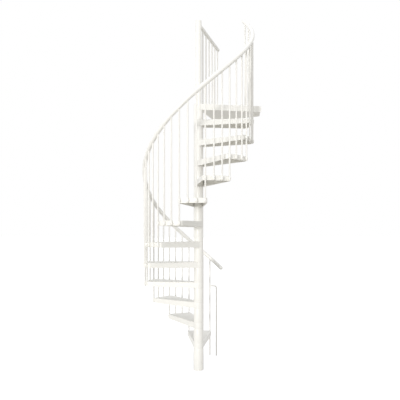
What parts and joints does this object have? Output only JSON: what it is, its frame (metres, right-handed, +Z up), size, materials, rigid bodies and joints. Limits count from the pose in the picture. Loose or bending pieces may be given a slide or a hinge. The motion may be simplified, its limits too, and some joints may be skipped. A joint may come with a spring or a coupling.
{
  "type": "spiral staircase",
  "caption": "White painted steel spiral stair with pan treads on a sleeved centre column, rod balusters, a helical handrail and a railed landing.",
  "frame": {"origin": "centre of the base plate's underside, on the floor at the column's axis", "axes": "+Z up the column; +X towards the landing's right-hand edge; +Y towards its far edge and the first tread"},
  "size_m": [1.2923, 1.3074, 3.7956],
  "materials": {
    "tread_paint": "satin powder coat",
    "column_paint": "satin powder coat",
    "rod_paint": "satin powder coat",
    "rail_paint": "smooth plastic sleeve on a steel tube"
  },
  "bodies": {
    "root": {"base_plate": "column_paint", "foot_sleeve": "column_paint", "centre_pole": "column_paint", "pole_cap": "column_paint", "spacer_sleeves": "column_paint", "tread_01": "tread_paint", "tread_02": "tread_paint", "tread_03": "tread_paint", "tread_04": "tread_paint", "tread_05": "tread_paint", "tread_06": "tread_paint", "tread_07": "tread_paint", "tread_08": "tread_paint", "tread_09": "tread_paint", "tread_10": "tread_paint", "tread_11": "tread_paint", "tread_12": "tread_paint", "landing": "tread_paint", "balusters_01": "rod_paint", "balusters_02": "rod_paint", "balusters_03": "rod_paint", "balusters_04": "rod_paint", "balusters_05": "rod_paint", "balusters_06": "rod_paint", "balusters_07": "rod_paint", "balusters_08": "rod_paint", "balusters_09": "rod_paint", "balusters_10": "rod_paint", "balusters_11": "rod_paint", "balusters_12": "rod_paint", "starter_rod": "rod_paint", "rail_head_balusters": "rod_paint", "guard_balusters": "rod_paint", "guard_rail": "rail_paint", "handrail_1": "rail_paint", "handrail_2": "rail_paint", "handrail_3": "rail_paint", "handrail_4": "rail_paint", "handrail_caps": "rail_paint"}
  },
  "joints": []
}
